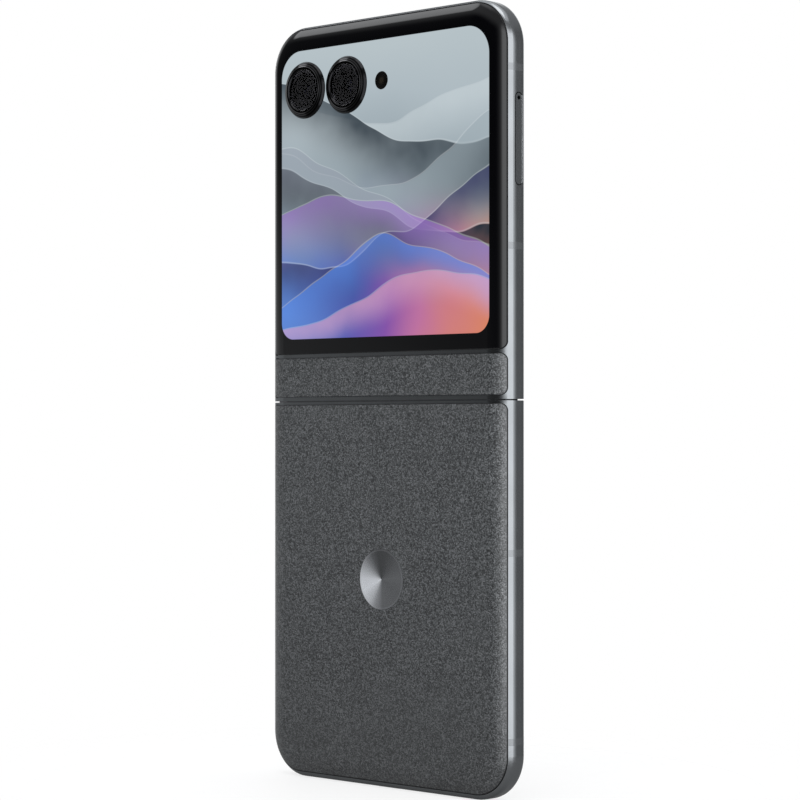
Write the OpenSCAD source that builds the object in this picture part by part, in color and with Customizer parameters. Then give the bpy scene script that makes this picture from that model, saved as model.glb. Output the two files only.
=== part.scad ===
// Foldable phone, open and upright. Z runs along its length, X across it and Y through it.
// The folding screen faces -Y and the outer face, with its two cameras, faces +Y.
// The origin is at the middle of the bottom edge. All sizes are in millimetres.

/* [Body] */
// Width of the phone
body_w = 74.0; // [72:0.5:78]
// Height of the open phone
body_h = 171.3; // [168:0.1:178]
// Thickness of each half
body_t = 7.25; // [7.15:0.05:7.6]
// Radius of the four outer corners
corner_r = 10; // [9:0.5:11]
// Gap between the halves at the hinge
half_gap = 0.3; // [0.2:0.05:0.4]

/* [Rounded edges] */
// Radius of the wide arc where the back begins to roll over
roll_wide_r = 7.35; // [7:0.05:7.6]
// Radius of the tight arc that ends at the flat side
roll_tight_r = 1.475; // [1.4:0.025:1.6]
// Radius of the front edge
front_edge_r = 2.0; // [1.8:0.1:2.2]

/* [Frame] */
// Thickness of the frame wall behind its front shelf
wall_t = 3.4; // [3:0.1:3.8]
// Wall left beside the mid plate
plate_wall_t = 2.1; // [2:0.1:2.5]
// Wall left beside the screen rim
rim_wall_t = 1.7; // [1.5:0.05:1.9]
// Length of the frame's solid bar beside the hinge on the lower half
lower_bar_l = 8.45; // [8:0.05:10]
// Length of the frame's solid bar beside the hinge on the upper half
upper_bar_l = 11.65; // [11.6:0.05:13]
// Height of an antenna break
band_h = 1.5; // [1:0.1:2]
// Depth of an antenna break into the wall
band_depth = 0.42; // [0.3:0.02:0.44]

/* [Outer panels] */
// Thickness of the glass and of the leather panels
panel_t = 0.55; // [0.45:0.05:0.6]
// Rim of bare frame beside the panels
panel_side = 0.6; // [0.5:0.05:0.8]
// Rim of bare frame below the leather panel
panel_end = 1.3; // [1:0.1:1.6]
// Rim of bare frame above the cover glass
glass_end = 0.7; // [0.6:0.1:1]
// Gap round each panel
panel_gap = 0.15; // [0.1:0.01:0.2]
// Small corner radius of the panels beside the hinge and the divider
panel_small_r = 1.5; // [1:0.1:2]
// Frame lip between the leather panel and the hinge gap
lower_lip = 0.6; // [0.5:0.05:0.9]
// Frame lip between the strip and the hinge gap
upper_lip = 0.88; // [0.7:0.02:1]
// Height of the leather strip
strip_h = 8.87; // [8.5:0.01:8.9]
// Bare metal divider between strip and glass
divider_h = 0.9; // [0.8:0.1:1.2]
// Diameter of the round badge
badge_d = 13.4; // [10:0.1:16]
// Height of the badge's centre above the bottom edge
badge_z = 46.2; // [40:0.1:50]
// Depth of the badge's seat in the leather
badge_seat = 0.3; // [0.2:0.05:0.35]

/* [Cover display] */
// Black border beside the lit area
cover_side = 4.5; // [4.5:0.25:7]
// Distance from the top edge of the phone to the lit area
cover_top = 5.7; // [5:0.1:7]
// Black border between the lit area and the glass's lower edge
cover_low = 3.45; // [3:0.05:5]
// Upper corner radius of the lit area
cover_top_r = 6.3; // [5:0.1:7]
// Lower corner radius of the lit area
cover_low_r = 3.8; // [3:0.1:5]
// Thickness of the display module
cover_t = 0.6; // [0.4:0.05:0.7]

/* [Cameras] */
// Distance of the camera centres from the top edge
camera_top = 14.8; // [14:0.1:16]
// Distance of the wide camera's centre from the side
wide_camera_side = 12.5; // [12:0.1:12.6]
// Distance between the centres of the two cameras
camera_pitch = 13.5; // [13.3:0.1:14]
// Distance between the centres of the main camera and the flash
flash_pitch = 11; // [10:0.1:11.5]
// Outer diameter of a camera ring
ring_d = 12.9; // [12:0.1:13]
// Height of a camera ring over the glass
ring_h = 1.1; // [0.8:0.1:1.5]
// Diameter of a camera's window
lens_d = 9.1; // [8:0.1:9.3]
// Thickness of a camera's window
lens_t = 0.5; // [0.3:0.1:0.5]
// Diameter of the flash window
flash_d = 4; // [3:0.1:4.5]

/* [Folding display] */
// Depth of the screen below its rim
screen_recess = 0.15; // [0.1:0.05:0.2]
// Thickness of the folding screen
screen_t = 0.45; // [0.3:0.05:0.5]
// Thickness of the steel plate behind the screen
backing_t = 0.2; // [0.1:0.05:0.25]
// Distance from the phone's edge to the screen's edge
screen_edge = 2.75; // [2.6:0.05:3]
// Distance from the phone's edge to the rim's inner edge
rim_inner = 3.75; // [3.5:0.05:4]
// Length of the flexible screen on each side of the hinge gap
fold_reach = 8.25; // [7:0.25:9]
// Distance of the front camera from the top edge
front_camera_top = 8.2; // [7.8:0.1:9]
// Diameter of the hole for the front camera
front_camera_d = 3.5; // [3:0.1:4]

/* [Hinge] */
// Depth of the hinge axes behind the front rim
axis_depth = 1.55; // [1.5:0.05:1.6]
// Gap between the two rims when folded
folded_gap = 1.35; // [1.3:0.05:1.5]
// Frame and panel together over the spine
hinge_lip_t = 1.0; // [1:0.02:1.1]
// Running gap between the spine and the frame
spine_gap = 0.05; // [0.05:0.01:0.1]
// Thickness of the spine's wall
spine_wall = 0.85; // [0.7:0.05:0.95]
// Side wall of the frame beside the spine
spine_side = 1.4; // [1.3:0.1:1.6]
// Distance of the hinge gears from the side
gear_side = 10.5; // [10:0.5:12]
// Width of a gear
gear_w = 3; // [2.5:0.1:3]
// Number of teeth on a gear
gear_teeth = 10; // [10:2:10]
// Diameter of a hinge pin
pin_d = 0.54; // [0.5:0.02:0.56]
// Radial clearance of a gear on its pin
pin_gap = 0.03; // [0.02:0.01:0.04]

/* [Buttons and card tray] */
// Distance of the volume rocker's centre from the top edge
rocker_top = 26.8; // [26:0.1:27.5]
// Length of the volume rocker
rocker_l = 18; // [15:0.5:18.5]
// Distance of the power button's centre from the top edge
power_top = 45.3; // [44.5:0.1:46]
// Length of the power button
power_l = 12; // [10:0.5:12.5]
// Width of both buttons
button_w = 2.0; // [1.6:0.1:2]
// Height of both buttons over the side
button_h = 0.35; // [0.3:0.05:0.5]
// Gap round a button
button_gap = 0.1; // [0.08:0.01:0.12]
// Travel of a button
button_travel = 0.25; // [0.2:0.01:0.25]
// Distance of the tray's upper end from the top edge
tray_top = 20.4; // [20:0.1:21]
// Length of the tray's door
tray_l = 19.7; // [18:0.1:20]
// Width of the tray's door
tray_w = 2.3; // [2:0.1:2.4]
// How far the tray reaches in from its door
tray_reach = 17; // [16:0.5:18]
// Gap round the tray's door
tray_gap = 0.08; // [0.06:0.01:0.1]
// Diameter of the eject hole
eject_d = 0.9; // [0.7:0.1:1.1]

/* [Bottom edge] */
// Width of the socket's opening
usb_w = 8.34; // [8.3:0.02:8.4]
// Height of the socket's opening
usb_h = 2.56; // [2.5:0.02:2.6]
// Thickness of the socket's steel shell
usb_wall = 0.3; // [0.2:0.05:0.35]
// Depth of the socket
usb_depth = 7.3; // [7:0.1:7.5]
// Number of speaker slots
slot_count = 5; // [3:1:5]
// Length of a speaker slot
slot_l = 2.4; // [2:0.1:2.6]
// Height of a speaker slot
slot_h = 1.0; // [0.8:0.1:1.1]
// Pitch of the speaker slots
slot_pitch = 3.5; // [3.2:0.1:3.6]
// Diameter of a microphone hole
mic_d = 0.8; // [0.6:0.1:1]

/* [Inside] */
// Space between the lower battery and the side of the phone
lower_battery_side = 11; // [11:0.5:14]
// Space between the upper battery and the side of the phone
upper_battery_side = 7; // [6:0.5:12]
// Space between a battery and the parts at its ends
battery_gap = 1; // [0.8:0.1:3]
// Thickness of both batteries
battery_t = 4.2; // [3.8:0.1:4.3]
// Border of the lower battery left round the charging coil
coil_border = 5; // [4:0.5:8]
// Length of the small board at the bottom, from the bottom edge
board_top_z = 16; // [15.8:0.1:18]
// Length of the main board
main_board_l = 34.5; // [34:0.5:37]
// Thickness of the circuit boards
board_t = 0.55; // [0.5:0.05:0.6]
// Small gap that keeps stacked parts apart
seat_gap = 0.05; // [0.03:0.01:0.06]

/* [Hidden] */
$fn = 64;

front_y = -body_t / 2;
back_y = body_t / 2;
side_x = body_w / 2;
half_h = body_h / 2;
half_end = half_h - half_gap / 2;
corner_x = side_x - corner_r;
// The two arcs of the roll meet on the slope of a 3-4-5 triangle, which keeps their joint exact
roll_sin = 0.6;
roll_cos = 0.8;
roll_w = roll_wide_r * roll_sin + roll_tight_r * (1 - roll_sin);
roll_d = roll_wide_r * (1 - roll_cos) + roll_tight_r * roll_cos;
side_low_y = front_y + front_edge_r;
side_high_y = back_y - roll_d;
// Stack from the front: rim, screen, backing plate, mid plate, inner space
screen_y = front_y + screen_recess;
screen_back_y = screen_y + screen_t;
backing_y = screen_back_y + backing_t;
chassis_y = backing_y + 0.65;
seat_inset = panel_t + 0.02;
panel_low_y = back_y - panel_t;
inside_y = chassis_y + seat_gap;
board_y = inside_y + board_t;
part_y = board_y + seat_gap;
// Hinge axes: two parallel lines, so that the folded rims lie folded_gap apart
axis_y = front_y + axis_depth;
axis_half = axis_depth + folded_gap / 2;
axis_z = half_h - axis_half;
pocket_r = back_y - axis_y - hinge_lip_t;
spine_r = pocket_r - spine_gap;
pocket_half_w = body_w / 2 - spine_side;
spine_half_w = pocket_half_w - 0.1;
hinge_slope_w = 3.6;
hinge_slope_d = 0.95;
spine_cap_x = spine_half_w - 2;
knuckle_r = axis_half - half_gap / 2;
lower_half_bar_z = half_h - lower_bar_l;
upper_half_bar_z = half_h - upper_bar_l;
bar_low_y = axis_y + 1.525;
cap_y = axis_y + knuckle_r + 0.125;
wall_low_y = axis_y + 0.95;
chassis_end = axis_z - pocket_r - 0.525;
fold_end = half_h - fold_reach;
plate_end = axis_z - 1.1;
// Gears: four in a row fill the distance between the two axes
gear_r = axis_half / 3;
gear_module = 2 * gear_r / gear_teeth;
gear_tip_r = gear_r + 0.75 * gear_module;
gear_root_r = gear_r - 1.1 * gear_module;
tooth_base = 0.46 * gear_r;
tooth_tip = 0.14 * gear_r;
half_pitch = 180 / gear_teeth;
gear_x = side_x - gear_side;
cheek_t = 0.8;
cheek_gap = 0.2;
gear_x0 = gear_x - gear_w / 2;
gear_x1 = gear_x + gear_w / 2;
cheek_1 = gear_x0 - cheek_gap - cheek_t;
cheek_2 = gear_x1 + cheek_gap;
washer_t = 0.8;
washer_count = 3;
washer_gap = 0.1;
cheek_3 = cheek_2 + cheek_t + washer_gap + washer_count * (washer_t + washer_gap);
foot_z0 = chassis_end - 6.7;
foot_z1 = chassis_end - 0.3;
foot_top_y = chassis_y + 0.9;
screw_z = (foot_z0 + foot_z1) / 2;
screw_r = 0.5;
screw_head_r = 0.9;
screw_dx = 3.3;
// Outer panels
cover_w = body_w - 2 * cover_side;
glass_z0 = half_end + half_gap + upper_lip + strip_h + divider_h;
strip_z0 = half_end + half_gap + upper_lip;
cover_z0 = glass_z0 + cover_low;
cover_z1 = body_h - cover_top;
camera_z = body_h - camera_top;
wide_camera_x = side_x - wide_camera_side;
main_camera_x = wide_camera_x - camera_pitch;
flash_x = main_camera_x - flash_pitch;
ring_stem_r = ring_d / 2 - 1.1;
module_top_y = 2.2;
main_camera_half = 4.5;
main_barrel_r = 3.7;
wide_camera_half = 5.2;
wide_barrel_r = 3.4;
front_camera_half = 1.95;
board_notch = front_camera_half + 0.6;
// Side parts
button_y = (side_low_y + side_high_y) / 2;
tray_y = front_y + 2.8;
wall_x = side_x - wall_t;
flange_x = side_x - 1.75;
flange_t = 0.4;
fulcrum_r = 0.25;
pocket_x = side_x - 1.5;
rocker_z = body_h - rocker_top;
power_z = body_h - power_top;
tray_z = body_h - tray_top - tray_l / 2;
tray_plate_t = 0.85;
tray_plate_w = 13.4;
tray_door_t = 1.2;
sim_w = 8.8;
sim_l = 12.3;
sim_t = 0.67;
// Bottom parts
usb_y = (side_low_y + side_high_y) / 2 - 0.05;
usb_floor = 0.35;
lower_cavity = wall_t + 0.2;
mesh_border = 0.5;
slot_x0 = corner_x - 0.1 - mesh_border - slot_l / 2 - (slot_count - 1) * slot_pitch;
mic_x = -12;
flex_w = 4.5;
flex_t = 0.12;

// ---------------------------------------------------------------- shared shapes

// Swaps an upper-half shape, drawn from the bottom edge, to the top of the phone
module flip() {
    translate([0, 0, body_h]) mirror([0, 0, 1]) children();
}

module both_sides() {
    children();
    mirror([1, 0, 0]) children();
}

// Extrudes a shape drawn in X and Z from y0 to y1
module slab(y0, y1) {
    translate([0, y1, 0]) rotate([90, 0, 0]) linear_extrude(y1 - y0) children();
}

// Extrudes a shape drawn in Y and Z from x0 to x1
module along_x(x0, x1) {
    translate([x0, 0, 0]) rotate([90, 0, 90]) linear_extrude(x1 - x0) children();
}

module box(x0, x1, y0, y1, z0, z1) {
    translate([x0, y0, z0]) cube([x1 - x0, y1 - y0, z1 - z0]);
}

module rod_y(x, z, r, y0, y1) {
    translate([x, y1, z]) rotate([90, 0, 0]) cylinder(r = r, h = y1 - y0);
}

module rod_x(y, z, r, x0, x1) {
    translate([x0, y, z]) rotate([0, 90, 0]) cylinder(r = r, h = x1 - x0);
}

// Rounded rectangle, centred across, with its own radii at its low and high corners
module plate_2d(w, z0, z1, low_r, high_r) {
    translate([-w / 2, z0 + low_r]) square([w, z1 - high_r - z0 - low_r]);
    translate([-w / 2 + low_r, z0]) square([w - 2 * low_r, low_r]);
    translate([-w / 2 + high_r, z1 - high_r]) square([w - 2 * high_r, high_r]);
    for (s = [-1, 1]) {
        translate([s * (w / 2 - low_r), z0 + low_r]) circle(low_r);
        translate([s * (w / 2 - high_r), z1 - high_r]) circle(high_r);
    }
}

// Outline of a half, drawn in from the phone's edge and cut square at its high end
module inset_2d(inset, z1) {
    r = corner_r - inset;
    translate([-body_w / 2 + inset, corner_r]) square([body_w - 2 * inset, z1 - corner_r]);
    translate([-corner_x, inset]) square([2 * corner_x, corner_r - inset]);
    for (s = [-1, 1]) {
        translate([s * corner_x, corner_r]) circle(r);
    }
}

// Stadium, drawn in Y and Z, that a button or the tray's door fills
module stadium_2d(y, z, w, l) {
    translate([y - w / 2, z - l / 2 + w / 2]) square([w, l - w]);
    for (s = [-1, 1]) {
        translate([y, z + s * (l - w) / 2]) circle(w / 2);
    }
}

// Section of the edge, outwards from the corner's centre: flat side, rolled back, round front
module edge_2d(inset) {
    joint_x = corner_r - roll_w + (roll_wide_r - inset) * roll_sin;
    translate([0, front_y + inset]) square([corner_r - roll_w, body_t - 2 * inset]);
    translate([0, front_y + inset]) square([corner_r - front_edge_r, front_edge_r]);
    translate([0, side_low_y]) square([corner_r - inset, side_high_y - side_low_y]);
    intersection() {
        translate([corner_r - front_edge_r, side_low_y]) circle(front_edge_r - inset);
        translate([corner_r - front_edge_r, front_y]) square([front_edge_r, front_edge_r]);
    }
    intersection() {
        translate([corner_r - roll_w, back_y - roll_wide_r]) circle(roll_wide_r - inset, $fn = 180);
        translate([corner_r - roll_w, side_high_y]) square([joint_x - corner_r + roll_w, roll_d]);
    }
    intersection() {
        translate([corner_r - roll_tight_r, side_high_y]) circle(roll_tight_r - inset);
        translate([joint_x, side_high_y]) square([corner_r - joint_x, roll_d]);
    }
}

// Whole section across the phone, in X and Y
module section_2d(inset) {
    translate([-corner_x, front_y + inset]) square([2 * corner_x, body_t - 2 * inset]);
    translate([corner_x, 0]) edge_2d(inset);
    translate([-corner_x, 0]) mirror([1, 0]) edge_2d(inset);
}

// Outer form of a half, drawn in by an inset, up to z1
module half_form(inset, z1) {
    translate([0, 0, corner_r]) linear_extrude(z1 - corner_r) section_2d(inset);
    translate([-corner_x, 0, corner_r])
        rotate([0, 90, 0]) linear_extrude(2 * corner_x) edge_2d(inset);
    both_sides()
        translate([corner_x, 0, corner_r])
            rotate([-90, 0, 0]) rotate_extrude(angle = 90) edge_2d(inset);
}

// Space that the spine turns in: round about the axis, then straight on past it. Its ends slope
// down so that they stay under the rolled edge.
module hinge_form(r, half_w, reach) {
    flat_w = half_w - hinge_slope_w;
    low_r = r - hinge_slope_d;
    translate([0, axis_y, axis_z]) {
        rotate([0, 90, 0]) rotate_extrude(angle = 90) polygon([
            [0, -half_w], [low_r, -half_w], [r, -flat_w],
            [r, flat_w], [low_r, half_w], [0, half_w]]);
        linear_extrude(reach) polygon([
            [-half_w, 0], [-half_w, low_r], [-flat_w, r],
            [flat_w, r], [half_w, low_r], [half_w, 0]]);
    }
}

// What is cut off a half's end so that the two halves roll past each other
module knuckle_cut() {
    difference() {
        box(-body_w, body_w, -body_t, axis_y, axis_z, half_h + 2);
        rod_x(axis_y, axis_z, knuckle_r, -body_w, body_w);
    }
}

// Recess for an outer panel: its outline and gap, down to the seat that follows the rolled edge
module panel_recess(w, z0, z1, low_r, high_r) {
    g = panel_gap;
    difference() {
        slab(side_high_y - 0.5, body_t)
            plate_2d(w + 2 * g, z0 - g, z1 + g, low_r + g, high_r + g);
        half_form(seat_inset, half_end + 1);
    }
}

module panel(w, z0, z1, low_r, high_r) {
    difference() {
        intersection() {
            half_form(0, half_end);
            slab(side_high_y - 0.5, body_t) plate_2d(w, z0, z1, low_r, high_r);
        }
        half_form(panel_t, half_end + 1);
    }
}

panel_w = body_w - 2 * panel_side;
panel_low_r = corner_r - panel_end;
glass_high_r = corner_r - glass_end;
// The upper half's panels, as heights measured down from the top edge
strip_a = body_h - strip_z0 - strip_h;
strip_b = body_h - strip_z0;
glass_b = body_h - glass_z0;

// Frame of one half before its own holes: a ring with a front shelf and a bar at the hinge
module frame_blank(bar_z) {
    difference() {
        half_form(0, half_end);
        slab(front_y - 1.2, body_t) inset_2d(wall_t, bar_z);
        slab(front_y - 1.1, chassis_y) inset_2d(plate_wall_t, half_h + 1);
        slab(front_y - 1, backing_y) inset_2d(rim_wall_t, half_h + 2);
        box(-wall_x + 0.2, wall_x - 0.2, chassis_y - 0.1, bar_low_y, bar_z - 1, half_h + 3);
        hinge_form(pocket_r, pocket_half_w, half_h);
        knuckle_cut();
    }
}

// Antenna breaks in the outer skin of the sides, as heights above the nearer end
module bands(list) {
    for (z = list) {
        both_sides()
            box(side_x - band_depth, side_x + 1, -body_t, body_t, z - band_h / 2, z + band_h / 2);
    }
}

lower_bands = [13.1, 53.1];
upper_bands = [15.1, 53.0];

// Screen rim: a raised lip over the screen's edge with a deeper wall outside it
module bezel() {
    difference() {
        intersection() {
            half_form(0, half_end);
            difference() {
                slab(front_y - 1, backing_y - 0.05) inset_2d(rim_wall_t + seat_gap, half_end);
                slab(front_y - 2, screen_y - 0.02) inset_2d(rim_inner, half_h);
                slab(screen_y - 0.02, backing_y + 1) inset_2d(screen_edge - 0.1, half_h);
            }
        }
        knuckle_cut();
    }
}

module display_part() {
    slab(screen_y, screen_back_y) inset_2d(screen_edge, fold_end);
}

module backing_part() {
    slab(screen_back_y, backing_y) inset_2d(screen_edge, plate_end);
}

module chassis_part() {
    difference() {
        slab(backing_y, chassis_y) inset_2d(plate_wall_t + seat_gap, chassis_end);
        both_sides() for (s = [-1, 1]) {
            rod_y(gear_x + s * screw_dx, screw_z, screw_r, front_y, back_y);
        }
    }
}

// ---------------------------------------------------------------- hinge

module gear_2d(phase) {
    difference() {
        union() {
            circle(gear_root_r);
            for (i = [0:gear_teeth - 1]) {
                rotate(phase + i * 360 / gear_teeth) polygon([
                    [gear_root_r * 0.8, -tooth_base / 2], [gear_tip_r, -tooth_tip / 2],
                    [gear_tip_r, tooth_tip / 2], [gear_root_r * 0.8, tooth_base / 2]]);
            }
        }
        circle(pin_d / 2 + pin_gap);
    }
}

// One pair of gears on the line of the hinge axes, drawn a number of pitches above the lower axis
module gear_pair(step, phase) {
    both_sides() along_x(gear_x0, gear_x1)
        translate([axis_y, axis_z + step * 2 * gear_r]) gear_2d(phase);
}

module hinge_arms(phase) {
    gear_pair(0, phase);
    both_sides() {
        box(gear_x0 + 0.05, gear_x1 - 0.05, axis_y - 0.5, axis_y + 0.5,
            chassis_end + 0.1, axis_z - gear_root_r + 0.03);
        box(gear_x0 + 0.05, gear_x1 - 0.05, chassis_y, axis_y + 0.5,
            foot_z1 - 1, chassis_end + 0.11);
        difference() {
            box(gear_x - screw_dx - 1.3, gear_x + screw_dx + 1.3, chassis_y, foot_top_y,
                foot_z0, foot_z1);
            for (s = [-1, 1]) {
                rod_y(gear_x + s * screw_dx, screw_z, screw_r + seat_gap, front_y, back_y);
            }
        }
    }
}

module hinge_screws() {
    both_sides() for (s = [-1, 1]) {
        rod_y(gear_x + s * screw_dx, screw_z, screw_r - 0.01, backing_y + 0.1, foot_top_y + 0.01);
        rod_y(gear_x + s * screw_dx, screw_z, screw_head_r, foot_top_y, foot_top_y + 0.4);
    }
}

module lower_hinge_arms() {
    color("lightgray") hinge_arms(90);
}

module upper_hinge_arms() {
    color("lightgray") flip() hinge_arms(90 + half_pitch);
}

module lower_idler_gears() {
    color("silver") gear_pair(1, 90 + half_pitch);
}

module upper_idler_gears() {
    color("silver") gear_pair(2, 90);
}

// Spine: half of it about the lower axis, mirrored for the other half. Its end caps stop short
// of the axis, so that the rims can turn past them.
module spine_half() {
    inner_r = spine_r - spine_wall;
    difference() {
        hinge_form(spine_r, spine_half_w, axis_half);
        rod_x(axis_y, axis_z, inner_r, -spine_cap_x, spine_cap_x);
        box(-spine_cap_x, spine_cap_x, -body_t, axis_y + inner_r, axis_z, half_h + 1);
        box(-spine_cap_x, spine_cap_x, -body_t, wall_low_y, 0, body_h);
        both_sides() box(spine_cap_x - 0.01, body_w, -body_t, cap_y, 0, body_h);
    }
}

module spine_cover() {
    color("dimgray") {
        spine_half();
        flip() spine_half();
    }
}

module hinge_brackets() {
    color("darkgray") both_sides() {
        difference() {
            union() {
                box(cheek_1, cheek_3 + cheek_t, axis_y + 1.3, axis_y + spine_r - spine_wall - 0.02,
                    axis_z, body_h - axis_z);
                for (x = [cheek_1, cheek_2, cheek_3]) {
                    box(x, x + cheek_t, axis_y - 0.7, axis_y + 1.4, axis_z, body_h - axis_z);
                    rod_x(axis_y, axis_z, 0.7, x, x + cheek_t);
                    rod_x(axis_y, body_h - axis_z, 0.7, x, x + cheek_t);
                }
            }
            for (i = [0:3]) {
                rod_x(axis_y, axis_z + i * 2 * gear_r, pin_d / 2 + 0.01, cheek_1 - 1, cheek_3 + 2);
            }
        }
    }
}

module hinge_pins() {
    color("gainsboro") both_sides() {
        for (z = [axis_z, body_h - axis_z]) {
            rod_x(axis_y, z, pin_d / 2, cheek_1 - 0.1, cheek_3 + cheek_t + 0.1);
        }
        for (z = [axis_z + 2 * gear_r, body_h - axis_z - 2 * gear_r]) {
            rod_x(axis_y, z, pin_d / 2, cheek_1 - 0.1, cheek_2 + cheek_t + 0.1);
        }
    }
}

module friction_washers() {
    color("goldenrod") both_sides() {
        for (z = [axis_z, body_h - axis_z], i = [0:washer_count - 1]) {
            x = cheek_2 + cheek_t + washer_gap + i * (washer_t + washer_gap);
            difference() {
                rod_x(axis_y, z, 0.68, x, x + washer_t);
                rod_x(axis_y, z, pin_d / 2 + 0.01, x - 1, x + washer_t + 1);
            }
        }
    }
}

module display_fold() {
    color("black")
        box(-body_w / 2 + screen_edge, body_w / 2 - screen_edge, screen_y, screen_back_y,
            fold_end + 0.02, body_h - fold_end - 0.02);
}

module hinge_flex_cables() {
    color("saddlebrown") both_sides()
        box(6, 16, inside_y, inside_y + flex_t, foot_z0 - 0.5, body_h - foot_z0 - 3);
}

// ---------------------------------------------------------------- lower half, outside

module lower_blank() {
    difference() {
        frame_blank(lower_half_bar_z);
        panel_recess(panel_w, panel_end, half_end - lower_lip, panel_low_r, panel_small_r);
    }
}

module usb_2d(grow) {
    r = usb_h / 2 + grow;
    translate([-usb_w / 2 + usb_h / 2, usb_y - r]) square([usb_w - usb_h, 2 * r]);
    for (s = [-1, 1]) {
        translate([s * (usb_w - usb_h) / 2, usb_y]) circle(r);
    }
}

module lower_frame() {
    color("slategray") difference() {
        lower_blank();
        bands(lower_bands);
        translate([0, 0, -1]) linear_extrude(wall_t + 3) usb_2d(usb_wall + 0.05);
        for (i = [0:slot_count - 1]) {
            translate([slot_x0 + i * slot_pitch, usb_y, -1]) linear_extrude(wall_t + 3) {
                square([slot_l - slot_h, slot_h], center = true);
                for (s = [-1, 1]) {
                    translate([s * (slot_l - slot_h) / 2, 0]) circle(slot_h / 2);
                }
            }
        }
        translate([mic_x, usb_y, -1]) cylinder(d = mic_d, h = wall_t + 3);
    }
}

module lower_antenna_bands() {
    color("gray") intersection() {
        half_form(0, half_end);
        bands(lower_bands);
    }
}

module lower_back_panel() {
    color([0.32, 0.33, 0.34]) difference() {
        panel(panel_w, panel_end, half_end - lower_lip, panel_low_r, panel_small_r);
        rod_y(0, badge_z, badge_d / 2 + seat_gap, back_y - badge_seat, back_y + 1);
    }
}

// Polished disc with a shallow round dish turned into its face, in rings
module back_badge() {
    rings = 8;
    dish = 0.1;
    proud = 0.05;
    dish_r = badge_d / 2 - 0.4;
    color("silver") translate([0, back_y, badge_z]) rotate([-90, 0, 0])
        rotate_extrude($fn = 96) polygon(concat(
            [[0, -badge_seat], [badge_d / 2, -badge_seat], [badge_d / 2, proud]],
            [for (i = [rings:-1:0]) [dish_r * i / rings, proud - dish * (1 - pow(i / rings, 2))]]));
}

module lower_chassis() {
    color("lightslategray") chassis_part();
}

module lower_bezel() {
    color([0.08, 0.08, 0.09]) bezel();
}

module display_lower() {
    color("black") display_part();
}

module lower_display_plate() {
    color("silver") backing_part();
}

// ---------------------------------------------------------------- lower half, inside

lower_battery_w = body_w - 2 * lower_battery_side;
lower_battery_z = board_top_z + battery_gap;
lower_battery_end = foot_z0 - battery_gap;

module lower_battery() {
    color([0.15, 0.15, 0.17])
        slab(inside_y, inside_y + battery_t)
            plate_2d(lower_battery_w, lower_battery_z, lower_battery_end, 2, 2);
}

coil_d = lower_battery_w - 2 * coil_border;
coil_z = (lower_battery_z + lower_battery_end) / 2;
ferrite_y = inside_y + battery_t + seat_gap;
coil_y = ferrite_y + 0.2 + seat_gap;

module coil_ferrite() {
    color("dimgray") rod_y(0, coil_z, coil_d / 2 + 1, ferrite_y, ferrite_y + 0.2);
}

module charging_coil() {
    color("peru") difference() {
        rod_y(0, coil_z, coil_d / 2, coil_y, coil_y + 0.25);
        rod_y(0, coil_z, coil_d / 4, coil_y - 1, coil_y + 1);
        for (r = [coil_d / 4 + 1.6:1.6:coil_d / 2 - 1]) {
            difference() {
                rod_y(0, coil_z, r + 0.2, coil_y + 0.15, coil_y + 1);
                rod_y(0, coil_z, r, coil_y, coil_y + 2);
            }
        }
    }
}

module usb_socket_shell() {
    color("gainsboro") difference() {
        linear_extrude(usb_depth + usb_floor) usb_2d(usb_wall);
        translate([0, 0, -1]) linear_extrude(usb_depth + 1) usb_2d(0);
    }
}

module usb_socket_tongue() {
    color([0.12, 0.12, 0.12]) box(-3.35, 3.35, usb_y - 0.35, usb_y + 0.35, 1.2, usb_depth);
}

module usb_board() {
    color("darkgreen") difference() {
        slab(inside_y, board_y) intersection() {
            inset_2d(lower_cavity, board_top_z);
            translate([-body_w, 0]) square([2 * body_w, body_h]);
        }
        box(-usb_w / 2 - 0.6, usb_w / 2 + 0.6, -body_t, body_t, 0, usb_depth + 0.7);
    }
}

module loudspeaker() {
    x1 = side_x - 7.5;
    z0 = lower_cavity + 1.1;
    z1 = board_top_z - 0.8;
    color([0.1, 0.1, 0.1]) difference() {
        box(x1 - 20, x1, part_y, part_y + 3.6, z0, z1);
        rod_y(x1 - 10, (z0 + z1) / 2, 4, part_y + 3.1, part_y + 5);
    }
}

module speaker_mesh() {
    x0 = slot_x0 - slot_l / 2 - mesh_border;
    color("black")
        box(x0, x0 + (slot_count - 1) * slot_pitch + slot_l + 2 * mesh_border,
            usb_y - 0.9, usb_y + 0.9, wall_t, wall_t + 0.12);
}

module vibration_motor() {
    x = -side_x + 13;
    z = board_top_z - 5.8;
    color("silver") difference() {
        rod_y(x, z, 4, part_y, part_y + 2.8);
        rod_y(x, z, 1, part_y + 2.6, part_y + 3.5);
    }
}

module bottom_microphone() {
    color("goldenrod") difference() {
        box(mic_x - 1.8, mic_x + 1.8, part_y, part_y + 1.2, lower_cavity + 0.1, lower_cavity + 2.8);
        rod_y(mic_x, lower_cavity + 1, 0.3, part_y + 0.9, part_y + 2);
    }
}

// Flat cable: over the board's end, down its edge and on beside the battery
module board_flex_cable() {
    x0 = lower_battery_w / 2 + 1;
    x1 = x0 + flex_w;
    bend_z = board_top_z + 0.5;
    color("saddlebrown") {
        box(x0, x1, part_y, part_y + flex_t, board_top_z - 0.7, bend_z + 0.5);
        box(x0, x1, inside_y + 0.1, part_y + flex_t, bend_z, bend_z + 0.5);
        box(x0, x1, inside_y, inside_y + flex_t, bend_z, foot_z0 - 0.2);
    }
}

module lower_screws() {
    color("gainsboro") {
        hinge_screws();
        for (x = [-side_x + 7, 7.5]) {
            rod_y(x, board_top_z - 2, screw_head_r, part_y, part_y + 0.4);
        }
    }
}

// ---------------------------------------------------------------- upper half, outside

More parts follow.
